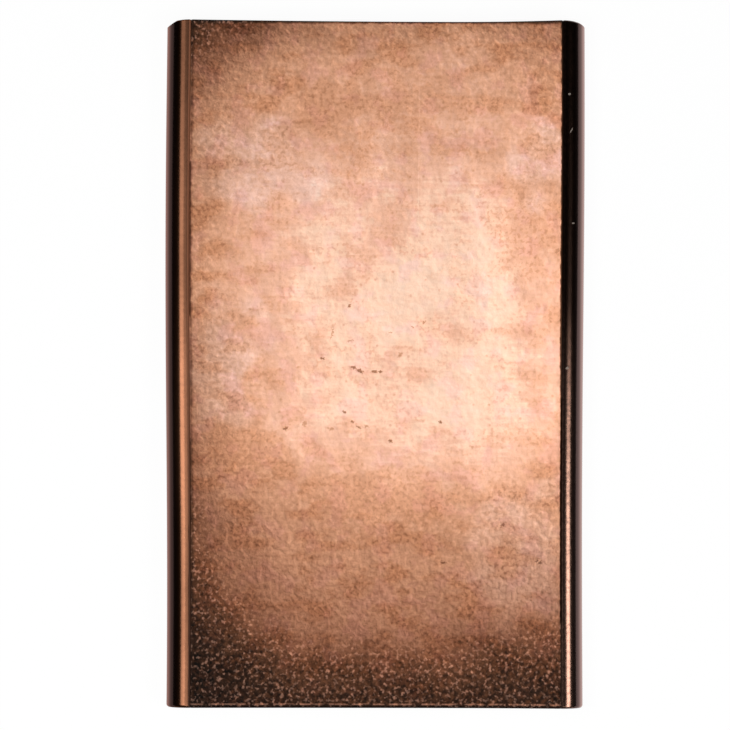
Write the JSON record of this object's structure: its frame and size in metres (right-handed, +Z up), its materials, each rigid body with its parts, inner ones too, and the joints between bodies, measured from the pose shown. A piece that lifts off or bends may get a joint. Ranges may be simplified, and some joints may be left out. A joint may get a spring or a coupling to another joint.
{
  "type": "brass sheet",
  "caption": "Short length of brass sheet with a grained, slightly hollow face and both long edges turned down in a smooth bend to a short lip.",
  "frame": {"origin": "middle of the rectangle that the sheet covers, on the floor under its lips", "axes": "+X across the sheet, +Y along it to the head end, +Z up through the grained face"},
  "size_m": [0.0607, 0.0992, 0.0045],
  "materials": {
    "brass": "aged red brass, matt grained face browned at the foot end, smooth bends"
  },
  "bodies": {
    "root": {"brass_sheet": "brass"}
  },
  "joints": []
}
